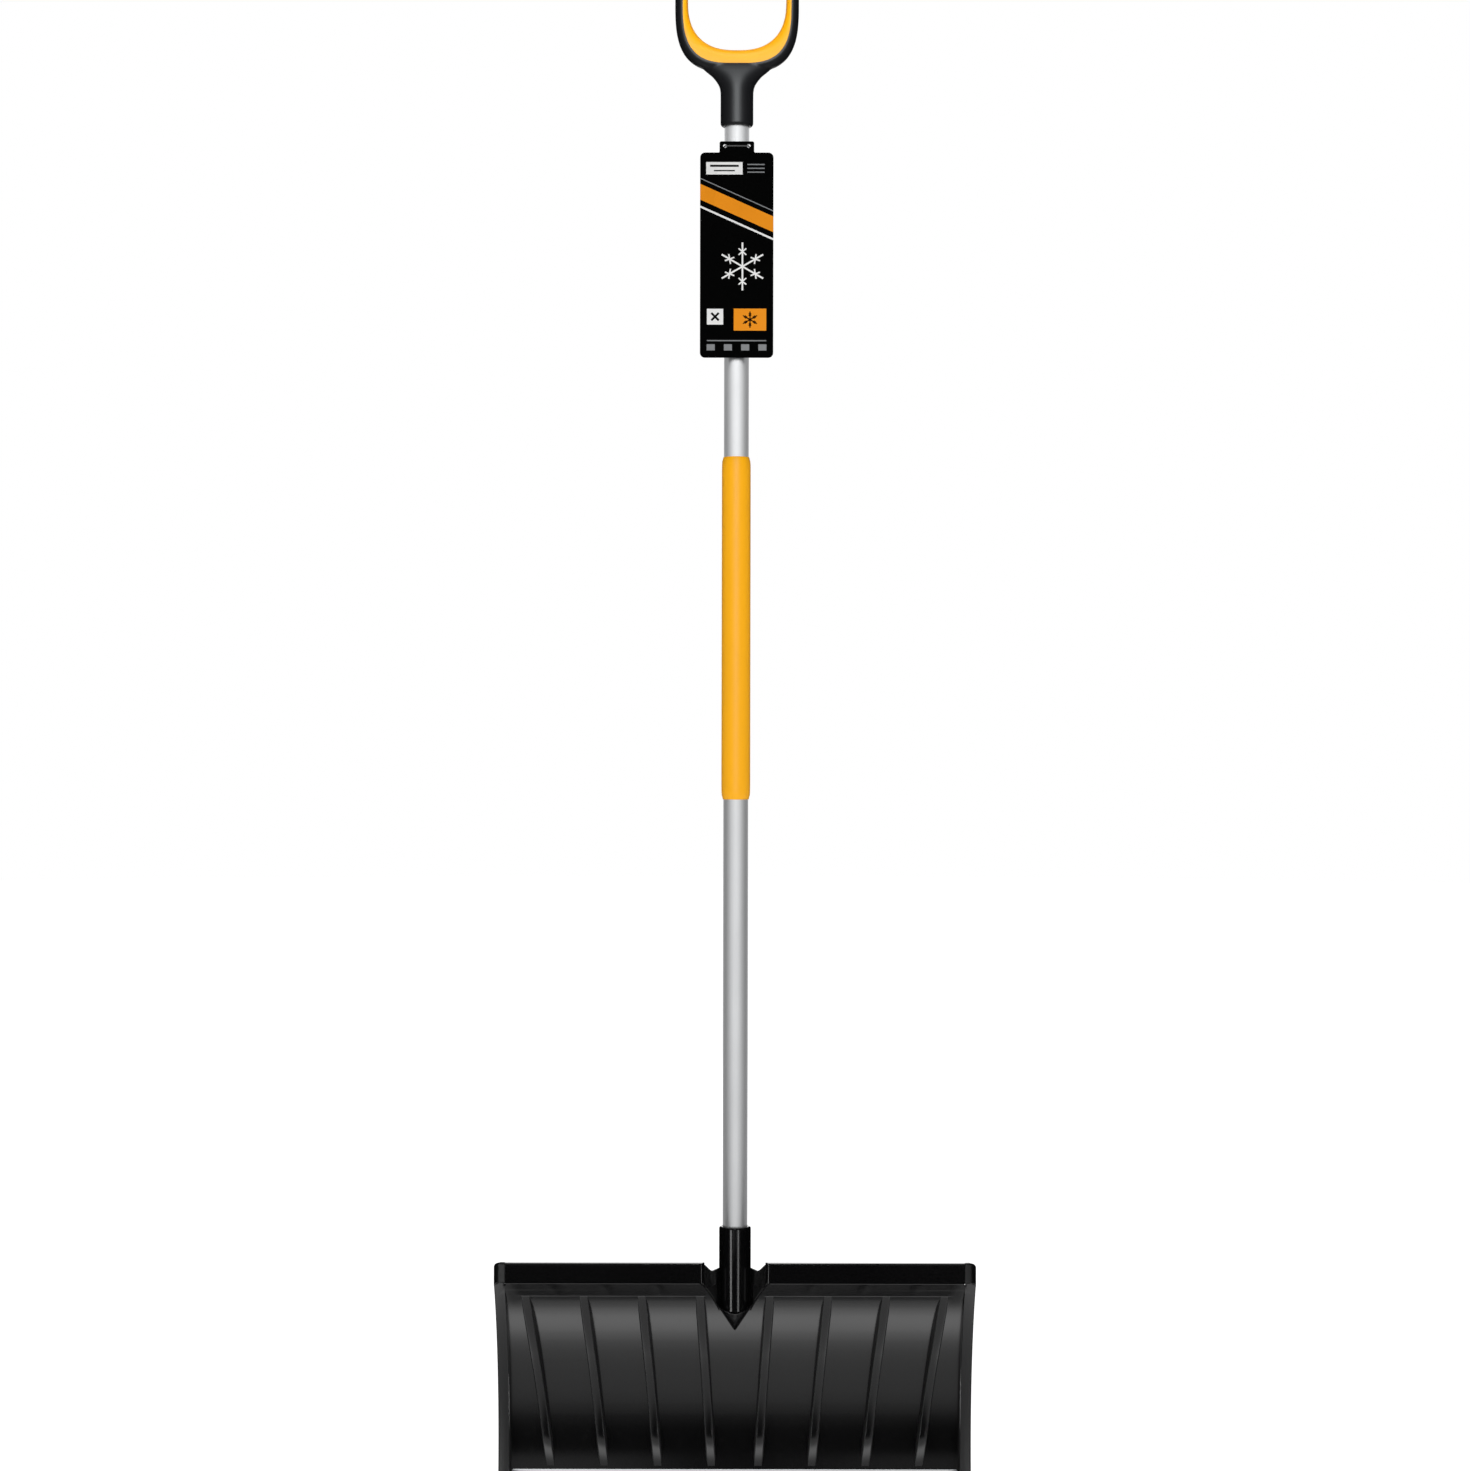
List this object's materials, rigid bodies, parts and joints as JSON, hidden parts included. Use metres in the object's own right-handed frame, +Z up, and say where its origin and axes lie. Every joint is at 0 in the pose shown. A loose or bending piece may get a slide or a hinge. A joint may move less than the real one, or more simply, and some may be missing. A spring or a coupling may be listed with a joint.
{
  "type": "snow pusher",
  "caption": "Snow pusher with a D handle, a straight aluminium tube with a soft sleeve, and a wide hollow plastic blade edged with a steel strip.",
  "frame": {"origin": "top of the hand opening on the shaft's centre line, where the handle hangs on a hook", "axes": "+Z up along the shaft, +X to the right, the hollow side of the blade faces -Y"},
  "size_m": [0.5, 0.0995, 1.6536],
  "materials": {
    "handle_plastic": "satin moulded plastic",
    "liner_rubber": "soft matte orange",
    "screw_steel": "zinc plated",
    "plug_plastic": "plain natural plastic",
    "tube_aluminium": "satin anodised",
    "sleeve_foam": "smooth satin orange",
    "blade_plastic": "glossy moulded plastic",
    "strip_steel": "galvanised sheet",
    "rivet_steel": "zinc plated",
    "tie_plastic": "thin moulded strand",
    "tag_card": "printed card"
  },
  "bodies": {
    "pusher": {"handle_frame": "handle_plastic", "handle_liner": "liner_rubber", "handle_screw": "screw_steel", "upper_plug": "plug_plastic", "shaft_tube": "tube_aluminium", "grip_sleeve": "sleeve_foam", "lower_plug": "plug_plastic", "blade": "blade_plastic", "socket_screw": "screw_steel", "wear_strip": "strip_steel", "strip_rivets": "rivet_steel", "rivet_washers": "rivet_steel"},
    "tie": {"tag_tie": "tie_plastic"},
    "tag": {"hang_tag": "tag_card"}
  },
  "joints": [
    {"name": "tag_turn", "type": "hinge", "parent": "pusher", "child": "tie", "pos_m": [0, 0, -0.2054], "axis": [0, 0, 1], "continuous": true},
    {"name": "tag_swing", "type": "hinge", "parent": "tie", "child": "tag", "pos_m": [0, -0.0186, -0.2054], "axis": [-1, 0, 0], "range_deg": [0, 20]}
  ]
}
